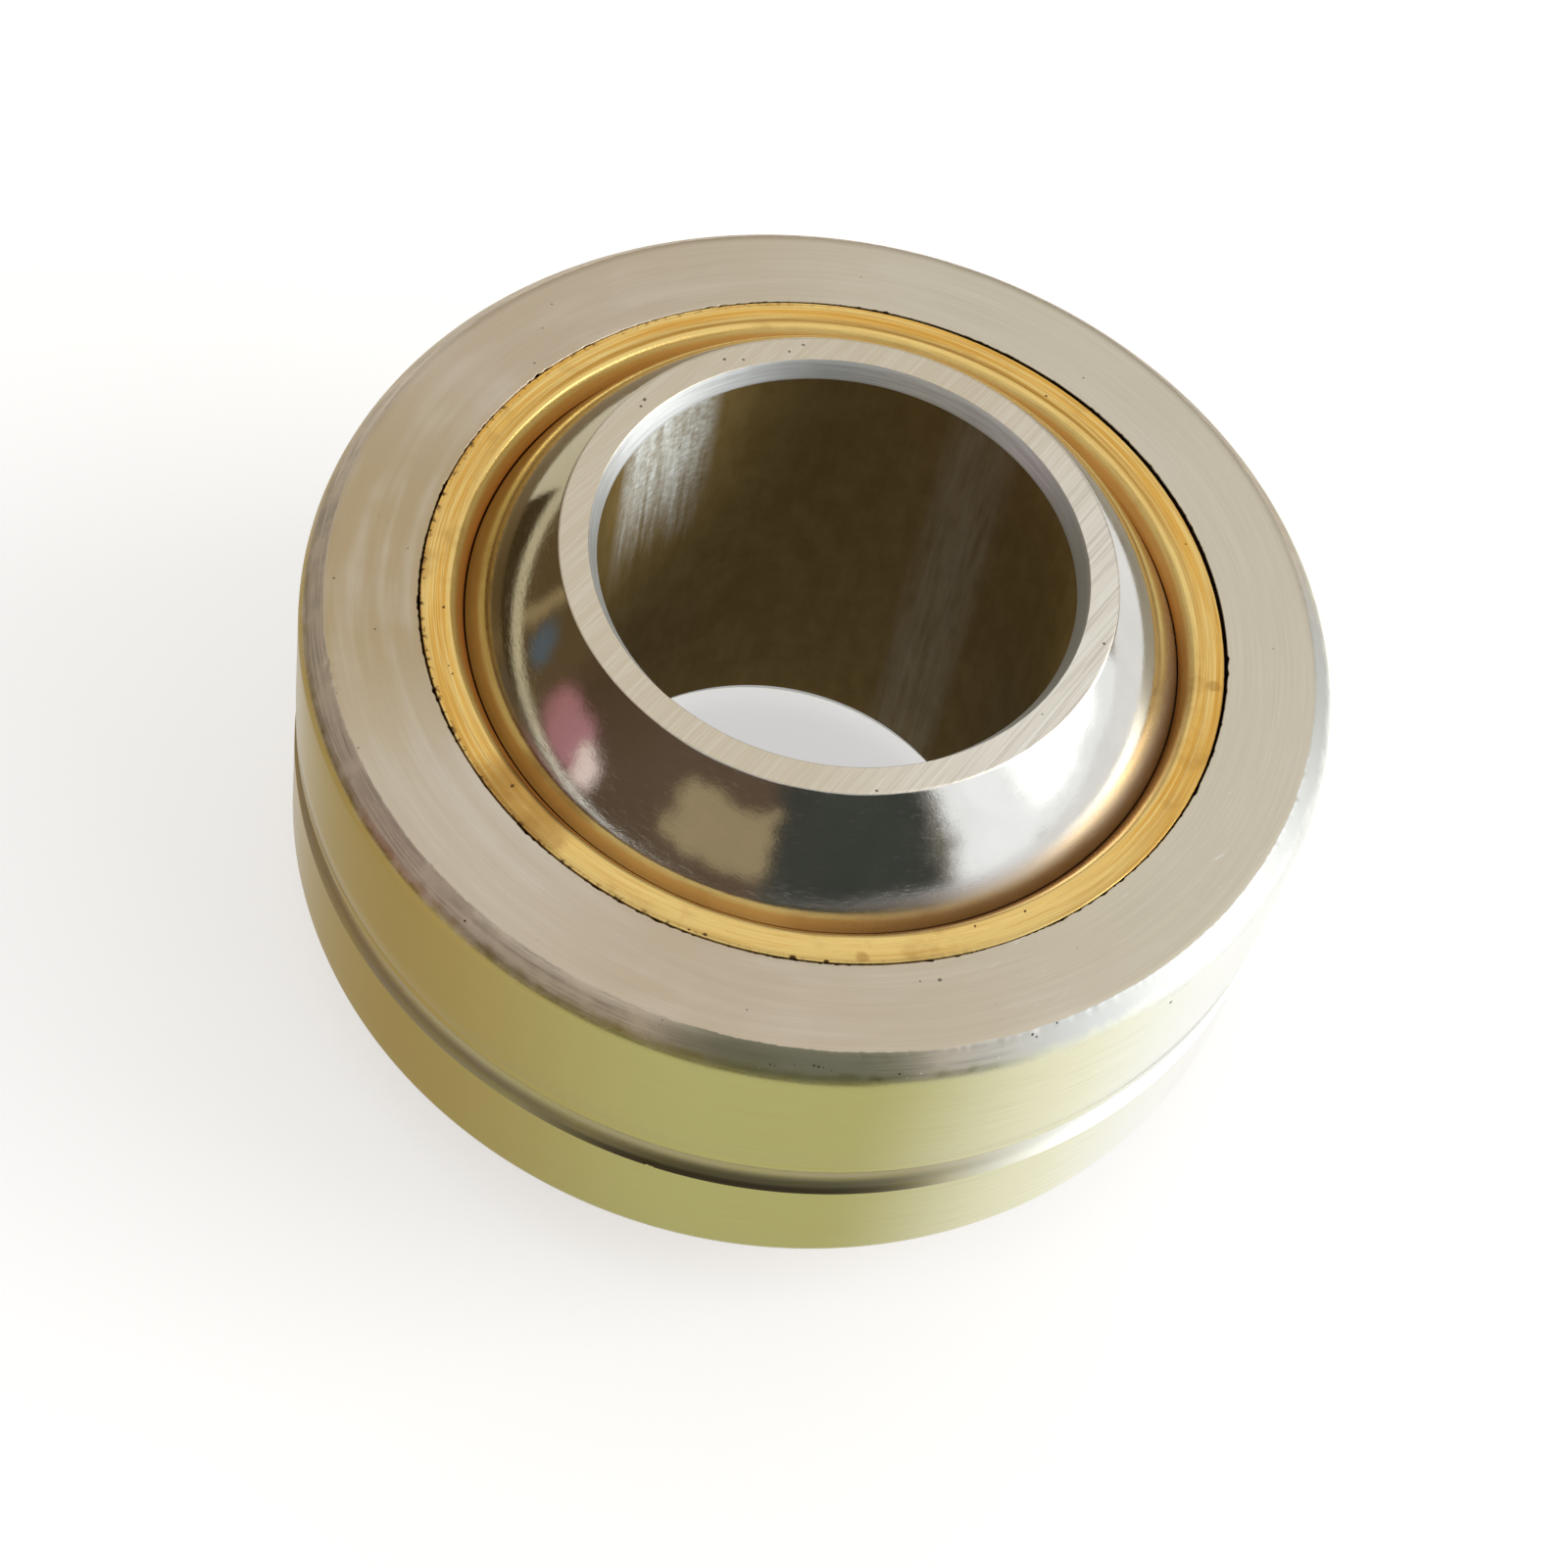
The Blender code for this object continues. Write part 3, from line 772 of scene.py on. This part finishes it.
ballSteel = {
    "mirror": (0.68, 0.67, 0.64),
    "mirrorHaze": (0.62, 0.61, 0.58),
    # painted reflection tone on the ball's left, over the brass
    "ballReflectionTint": (0.37, 0.31, 0.165),
    # painted reflection tone on the ball's right front, just above the brass
    "hazyReflection": (0.50, 0.46, 0.46),
    "face": (0.74, 0.65, 0.50),
    # paler scratch lines, and painted light on the right of the face
    "faceLight": (1.0, 0.97, 0.90),
    "chamfer": (0.70, 0.71, 0.69),
    "chamferLight": (0.88, 0.90, 0.90),
    # painted shade on the right of the bore's chamfer
    "chamferDark": (0.44, 0.42, 0.35),
    # the bore's dark colour is painted shade, and boreBright paints its highlight stripes
    "bore": (0.22, 0.148, 0.048),
    "boreLight": (0.27, 0.19, 0.072),
    "boreBright": (0.80, 0.83, 0.80),
    # where a tone comes in: direction round the ring in degrees, and the cosines from none to full
    "hazyReflectionAt": (-28, 0.40, 0.88),
    "ballReflectionTintAt": (180, 0.25, 0.90),
    "rightAt": (-12, 0.1, 1.0),
    "chamferDarkAt": (-4, 0.55, 0.95),
    "glareAt": (148, 0.945, 0.985),
    "secondGlareAt": (61, 0.975, 0.999),
    # roughness: how much the haze, the patches or the stripes add, and where it starts
    "ballRough": (0.10, 0.035),
    "hazyReflectionRough": 0.22,
    "scuffRough": 0.14,
    "faceRough": (0.10, 0.30),
    "boreRough": (-0.30, 0.86),
    # depth of the marks in mm
    "ballGrain": 0.0035,
    "faceGrain": 0.0015,
    "chamferGrain": 0.002,
    "boreGrain": 0.0002,
    "chamferBrushed": 0.75,
    "boreBrushed": 0.9,
    "faceMarks": [            # angle, radius, height, size
        (128.0, 16.6, 18.5, 0.14), (124.0, 16.2, 18.5, 0.11), (113.0, 16.3, 18.5, 0.12),
        (109.5, 16.8, 18.5, 0.13), (150.0, 16.6, 18.5, 0.15), (152.0, 16.4, 18.5, 0.12),
        (-6.0, 17.0, 18.5, 0.12), (-72.0, 17.25, 18.5, 0.12), (-30.0, 16.2, 18.5, 0.10),
    ],
}

innerDetail = {
    "around": 1024,
    "edgeRound": 0.07,
    "edgeWander": 0.02,       # how far the chamfer's edge wanders
    "boreSoft": 0.19,         # height over which the chamfer softens into the bore
}


def makeBallMirror():
    tree, shader = newFinish("ballMirror", ballSteel["mirror"], 0.06)
    unit, _, height, scaled = ringPlaces(tree)
    haze = cloud(tree, scaled, size=4.0, detail=4.0)
    fine = ringMarks(tree, unit, height, around=30.0, fineness=2.0)
    scuffs = ringMarks(tree, unit, height, around=22.0, fineness=9.0, detail=4.0, roughness=0.75, seed=2.0)
    scuffs = between(tree, scuffs, 0.50, 0.75)
    # a rougher patch on the right front just above the brass, its colour a painted reflection
    hazyReflection = times(tree, toward(tree, unit, *ballSteel["hazyReflectionAt"]),
                  between(tree, height, mouthHeight + 2.8, mouthHeight + 1.1))
    rough = ease(tree, hazyReflection, ballSteel["hazyReflectionRough"], ease(tree, haze, *ballSteel["ballRough"]))
    rough = ease(tree, scuffs, ballSteel["scuffRough"], rough)
    colour = tint(tree, ballSteel["mirrorHaze"], between(tree, haze, 0.30, 0.75), ballSteel["mirror"])
    # painted reflection: an olive-brown tint on the ball's left, above the brass
    above = between(tree, height, mouthHeight + 0.7, mouthHeight + 2.0)
    ballReflectionTint = times(tree, toward(tree, unit, *ballSteel["ballReflectionTintAt"]), ease(tree, above, 0.42, 0.50))
    colour = tint(tree, colour, ballReflectionTint, ballSteel["ballReflectionTint"])
    # painted reflection on the ball's right front
    colour = tint(tree, colour, hazyReflection, ballSteel["hazyReflection"], 0.8)
    grain = ringMarks(tree, unit, height, around=55.0, fineness=4.0, roughness=0.7, seed=31.0)
    dress(tree, shader, colour, ease(tree, fine, 0.1, grain), ballSteel["ballGrain"], rough)


def makeGroundFace():
    tree, shader = newFinish("groundFace", ballSteel["face"], 0.36)
    unit, _, _, scaled = ringPlaces(tree)
    scored = scoredLines(tree, scaled, degrees=60, apartBy=0.15, length=9.0)
    crossed = scoredLines(tree, scaled, degrees=66, apartBy=0.20, length=14.0, seed=3.0)
    patches = cloud(tree, scaled, size=6.0)
    # painted light: the face paler to the right, where its scratch lines glint most
    rightSide = toward(tree, unit, *ballSteel["rightAt"])
    light = times(tree, between(tree, scored, 0.50, 0.62), ease(tree, rightSide, 0.32, 0.16))
    crossLight = times(tree, between(tree, crossed, 0.52, 0.60), ease(tree, rightSide, 0.75, 0.22))
    light = most(tree, light, times(tree, rightSide, 0.70), crossLight)
    colour = tint(tree, ballSteel["face"], light, ballSteel["faceLight"])
    # dark scratch lines, with more of them on the right as painted shade
    cut = times(tree, between(tree, crossed, 0.47, 0.40), ease(tree, rightSide, 0.30, 0.06))
    colour = tint(tree, colour, cut, steel["chamferDark"])
    dirt = marksAt(tree, scaled, ballSteel["faceMarks"], ragged=0.25)
    colour = tint(tree, colour, dirt, steel["grimeAndShade"], 0.8)
    rough = ease(tree, patches, *ballSteel["faceRough"])
    dress(tree, shader, colour, calc(tree, "ADD", scored, crossed), ballSteel["faceGrain"], rough)


def makeBoreChamfer():
    tree, shader = newFinish("boreChamfer", ballSteel["chamfer"], 0.55)
    unit, _, height, _ = ringPlaces(tree)
    fine = ringMarks(tree, unit, height, around=3.0, fineness=7.0)
    colour = tint(tree, ballSteel["chamfer"], between(tree, fine, 0.30, 0.70), ballSteel["chamferLight"])
    # painted shade on the right of the chamfer
    dark = toward(tree, unit, *ballSteel["chamferDarkAt"])
    colour = tint(tree, colour, dark, ballSteel["chamferDark"], 0.8)
    dress(tree, shader, colour, fine, ballSteel["chamferGrain"])
    brushedRound(tree, shader, ballSteel["chamferBrushed"])


def makeHonedBore():
    # honed round and round, so the main light spreads out along the bore; its ragged stripes are painted
    # highlight, and the bore's dark colour is painted shade
    tree, shader = newFinish("honedBore", ballSteel["bore"], 0.72)
    unit, _, height, _ = ringPlaces(tree)
    marks = ringMarks(tree, unit, height, around=7.0, fineness=0.30, detail=5.0, roughness=0.65)
    stripes = ringMarks(tree, unit, height, around=26.0, fineness=0.14, detail=4.0, roughness=0.65, seed=5.0)
    cells = ringMarks(tree, unit, height, around=26.0, fineness=2.6, roughness=0.7, seed=8.0)
    # painted shade: the bore's dark colour, with lighter marks
    colour = tint(tree, ballSteel["bore"], between(tree, marks, 0.30, 0.72), ballSteel["boreLight"])
    upTo = between(tree, ease(tree, stripes, 9.0, height), 6.0, 19.0)
    broken = calc(tree, "ADD", between(tree, stripes, 0.10, 0.80), between(tree, cells, 0.20, 0.85))
    glare = times(tree, toward(tree, unit, *ballSteel["glareAt"]), upTo, broken, 0.60)
    second = times(tree, toward(tree, unit, *ballSteel["secondGlareAt"]),
                   between(tree, stripes, 0.05, 0.75), 0.18)
    colour = tint(tree, colour, most(tree, glare, second), ballSteel["boreBright"])
    dress(tree, shader, colour, cells, ballSteel["boreGrain"], ease(tree, stripes, *ballSteel["boreRough"]))
    brushedRound(tree, shader, ballSteel["boreBrushed"])


def innerRuns():
    soft = innerDetail["edgeRound"]
    faceAngle = math.degrees(math.asin((innerHalf - soft) / ballRadius))
    shoulder = (ballRadius * math.cos(math.radians(faceAngle)), innerHalf - soft)
    bevel = innerHalf - boreFoot
    boreTop = (boreRadius, innerHalf - bevel - innerDetail["boreSoft"])
    top = [
        ("ballMirror", arc((0, 0), ballRadius, 0, faceAngle - 0.25, 26) + [shoulder]),
        ("groundFace", [shoulder, (faceEdge + 0.01, innerHalf - 0.03), (faceEdge - 0.05, innerHalf)]
         + line((faceEdge - 0.10, innerHalf), (boreEdge + 0.08, innerHalf), 4)
         + [(boreEdge + 0.03, innerHalf), (boreEdge, innerHalf - 0.02)]),
        ("boreChamfer", line((boreEdge, innerHalf - 0.02), (boreRadius + 0.03, innerHalf - bevel - 0.05), 3)
         + [(boreRadius + 0.008, innerHalf - bevel - 0.11), boreTop]),
        ("honedBore", line(boreTop, (boreRadius, 0), 6)),
    ]
    return top + flipped(top)


def innerShape(angle, r, z):
    if abs(z) > innerHalf - 0.7 and r < boreEdge + 0.1:
        r += innerDetail["edgeWander"] * abs(ripple(angle, 12, 12.0, 2))
    return r, z


for makeFinish in (makeTurnedFace, makeRimSteel, makeGroundSide, makeGrooveSteel, makeSeatSteel,
                   makeBrass, makeBallMirror, makeGroundFace, makeBoreChamfer, makeHonedBore):
    makeFinish()
print("bearing: finishes made")


# oil hole

oilHole = {"diameter": 2.2, "sides": 48, "past": 1.0}     # past: how far the drill starts and ends clear


def drillOilHole(piece, start, end):
    # through the groove at the back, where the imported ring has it
    grid = bmesh.new()
    radius = oilHole["diameter"] / 2 * mm
    bmesh.ops.create_cone(grid, cap_ends=True, segments=oilHole["sides"], radius1=radius, radius2=radius,
                          depth=(end - start) * mm)
    bmesh.ops.rotate(grid, verts=grid.verts, matrix=Matrix.Rotation(math.radians(90), 3, "X"))
    bmesh.ops.translate(grid, verts=grid.verts, vec=(0, (start + end) / 2 * mm, grooveMiddle * mm))
    mesh = bpy.data.meshes.new("oilDrill")
    grid.to_mesh(mesh)
    grid.free()
    for slot in piece.data.materials:
        mesh.materials.append(slot)
    drill = bpy.data.objects.new("oilDrill", mesh)
    bpy.context.scene.collection.objects.link(drill)
    cut = piece.modifiers.new("oilHole", "BOOLEAN")
    cut.operation = "DIFFERENCE"
    cut.solver = "EXACT"
    cut.object = drill
    bpy.context.view_layer.update()
    graph = bpy.context.evaluated_depsgraph_get()
    drilled = bpy.data.meshes.new_from_object(piece.evaluated_get(graph))
    piece.modifiers.clear()
    piece.data = drilled
    bpy.data.objects.remove(drill)


outerRing = turnRing("outerRing", outerRuns(), outerDetail["around"], outerShape,
                     ["seatSteel", "turnedFace", "rimSteel", "groundSide", "grooveSteel"])
raceLiner = turnRing("raceLiner", linerRuns(), linerDetail["around"], linerShape, ["turnedBrass"])
innerRing = turnRing("innerRing", innerRuns(), innerDetail["around"], innerShape,
                     ["honedBore", "ballMirror", "groundFace", "boreChamfer"])
drillOilHole(outerRing, seatRadius - oilHole["past"], outerRadius + oilHole["past"])
drillOilHole(raceLiner, mouthRadius + oilHole["past"], linerRadius + oilHole["past"])
print("bearing: oil hole drilled")

for piece, node, body, slot in (
    (outerRing, "outer_ring", "outer", "turned_steel"),
    (raceLiner, "race_liner", "outer", "brass"),
    (innerRing, "inner_ring", "inner", "polished_steel"),
):
    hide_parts(node)
    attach(piece, body)


# studio

studio = {
    "floorColour": (0.68, 0.68, 0.675),
    "floorGlow": 0.52,
    "roomLow": (0.40, 0.36, 0.30),      # what the steel sees of the room near the floor, and overhead
    "roomHigh": (0.775, 0.77, 0.755),
    "roomLowUpTo": 16.0,
    "roomHighFrom": 48.0,
    "roomWave": 0.26,
    "roomNoise": (4.0, 5.0, 0.66),      # scale, detail and roughness
    # each patch of the room: turn from the front and rise, their half widths, soft edge, colour
    "patches": [
        (-38, 15, 48, 28, 12, (0.14, 0.095, 0.062)),
        (-100, 10, 24, 17, 12, (0.21, 0.155, 0.10)),
        (-98, 9, 2.5, 9, 5, (0.60, 0.50, 0.38)),
        (25, 12, 24, 31, 11, (0.06, 0.065, 0.055)),
        (-14, 18, 15, 10, 4, (0.42, 0.33, 0.19)),
        (-67, 8, 8, 7, 6, (0.68, 0.34, 0.46)),
        (-56, 6, 4, 5, 4, (1.25, 1.05, 1.10)),
        (-89, 8, 4, 4, 5, (0.18, 0.26, 0.46)),
        (160, 8, 18, 14, 10, (0.16, 0.15, 0.13)),
        (-140, 6, 14, 12, 10, (0.20, 0.17, 0.13)),
        (86, 22, 34, 25, 6, (1.23, 1.26, 1.28)),
        (98, 28, 18, 18, 14, (4.0, 4.0, 3.95)),
    ],
}

# dark cards that stand round the bearing and are seen in the polished ball alone:
# middle, width, height, turn from facing the front, colour
cards = {
    "cardLeft": ((-0.105, -0.010, -0.003), 0.16, 0.022, 90, (0.10, 0.072, 0.040)),
    "cardFront": ((-0.035, -0.110, -0.005), 0.17, 0.018, 0, (0.12, 0.09, 0.06)),
}


def makeFloor():
    grid = bmesh.new()
    bmesh.ops.create_grid(grid, x_segments=1, y_segments=1, size=3.0)
    mesh = bpy.data.meshes.new("floor")
    grid.to_mesh(mesh)
    grid.free()
    floor = bpy.data.objects.new("floor", mesh)
    floor.location.z = -innerHalf * mm - 0.0001
    bpy.context.scene.collection.objects.link(floor)
    material = bpy.data.materials.new("paleFloor")
    material.use_nodes = True
    tree = material.node_tree
    tree.nodes.clear()
    path = add(tree, "LightPath").outputs
    seen = calc(tree, "MAXIMUM", path["Is Camera Ray"], path["Is Glossy Ray"])
    seen = calc(tree, "MAXIMUM", seen, path["Is Transmission Ray"])
    glow = add(tree, "Emission", {"Strength": calc(tree, "MULTIPLY", seen, studio["floorGlow"])}).outputs[0]
    matt = add(tree, "BsdfDiffuse", {"Color": (*studio["floorColour"], 1)}).outputs[0]
    both = add(tree, "AddShader", {0: matt, 1: glow}).outputs[0]
    add(tree, "OutputMaterial", {"Surface": both})
    mesh.materials.append(material)


def makeCard(name, middle, width, height, turn, colour):
    grid = bmesh.new()
    bmesh.ops.create_grid(grid, x_segments=1, y_segments=1, size=0.5)
    bmesh.ops.scale(grid, verts=grid.verts, vec=(width, height, 1))
    bmesh.ops.rotate(grid, verts=grid.verts, matrix=Matrix.Rotation(math.radians(90), 3, "X"))
    bmesh.ops.rotate(grid, verts=grid.verts, matrix=Matrix.Rotation(math.radians(turn), 3, "Z"))
    mesh = bpy.data.meshes.new(name)
    grid.to_mesh(mesh)
    grid.free()
    card = bpy.data.objects.new(name, mesh)
    card.location = middle
    bpy.context.scene.collection.objects.link(card)
    material = bpy.data.materials.new(name)
    material.use_nodes = True
    material.node_tree.nodes.clear()
    glow = add(material.node_tree, "Emission", {"Color": (*colour, 1), "Strength": 1.0}).outputs[0]
    add(material.node_tree, "OutputMaterial", {"Surface": glow})
    mesh.materials.append(material)
    card.visible_camera = card.visible_diffuse = card.visible_shadow = False


def softBox(tree, value, centre, half, soft):
    away = calc(tree, "ABSOLUTE", calc(tree, "SUBTRACT", value, centre))
    return between(tree, away, half + soft / 2, half - soft / 2)


def makeRoom():
    # a soft room all round: pale overhead, the main light on the right, darker towards the front
    world = bpy.data.worlds.new("room")
    bpy.context.scene.world = world
    world.use_nodes = True
    tree = world.node_tree
    way = add(tree, "TexCoord").outputs["Generated"]
    wave = noiseOn(tree, way, *studio["roomNoise"]).outputs["Color"]
    wave = add(tree, "VectorMath", {0: wave, 1: (0.5, 0.5, 0.5)}, operation="SUBTRACT").outputs[0]
    wave = add(tree, "VectorMath", {0: wave, "Scale": studio["roomWave"]}, operation="SCALE").outputs[0]
    way = add(tree, "VectorMath", {0: way, 1: wave}, operation="ADD").outputs[0]
    parts = add(tree, "SeparateXYZ", {0: way}).outputs
    turn = calc(tree, "ARCTAN2", parts[0], calc(tree, "MULTIPLY", parts[1], -1.0))
    turn = calc(tree, "DEGREES", turn)
    rise = calc(tree, "DEGREES", calc(tree, "ARCSINE", parts[2]))
    high = between(tree, rise, studio["roomLowUpTo"], studio["roomHighFrom"])
    colour = blendColour(tree, high, studio["roomLow"], studio["roomHigh"])
    for patchTurn, patchRise, halfTurn, halfRise, soft, tone in studio["patches"]:
        share = calc(tree, "MULTIPLY", softBox(tree, turn, patchTurn, halfTurn, soft),
                     softBox(tree, rise, patchRise, halfRise, soft))
        colour = blendColour(tree, share, colour, tone)
    seen = add(tree, "LightPath").outputs["Is Camera Ray"]
    colour = blendColour(tree, seen, colour, (1.0, 1.0, 1.0))
    tree.links.new(colour, tree.nodes["Background"].inputs["Color"])


makeFloor()
makeRoom()
for name, values in cards.items():
    makeCard(name, *values)


# camera

camera = {
    "elevation": 55.92,
    "roll": 13.86,
    "distance": 0.2267,
    "aimRight": 0.00106,
    "aimDown": -0.00401,
    "lens": 78.86,
    "sensor": 36.0,
}


def makeCamera():
    rise = math.radians(camera["elevation"])
    lean = math.radians(camera["roll"])
    forward = Vector((0, math.cos(rise), -math.sin(rise)))
    level = Vector((1, 0, 0))
    below = forward.cross(level)
    right = math.cos(lean) * level - math.sin(lean) * below
    down = math.sin(lean) * level + math.cos(lean) * below
    place = -(right * camera["aimRight"] + down * camera["aimDown"] + forward * camera["distance"])
    lens = bpy.data.cameras.new("camera")
    lens.lens = camera["lens"]
    lens.sensor_width = camera["sensor"]
    lens.clip_start = 0.01
    lens.clip_end = 20
    eye = bpy.data.objects.new("camera", lens)
    axes = Matrix((right, -down, -forward)).transposed()
    eye.matrix_world = Matrix.Translation(place) @ axes.to_4x4()
    bpy.context.scene.collection.objects.link(eye)
    bpy.context.scene.camera = eye


makeCamera()
bpy.context.scene.view_settings.view_transform = "Standard"
print("bearing: studio and camera set")
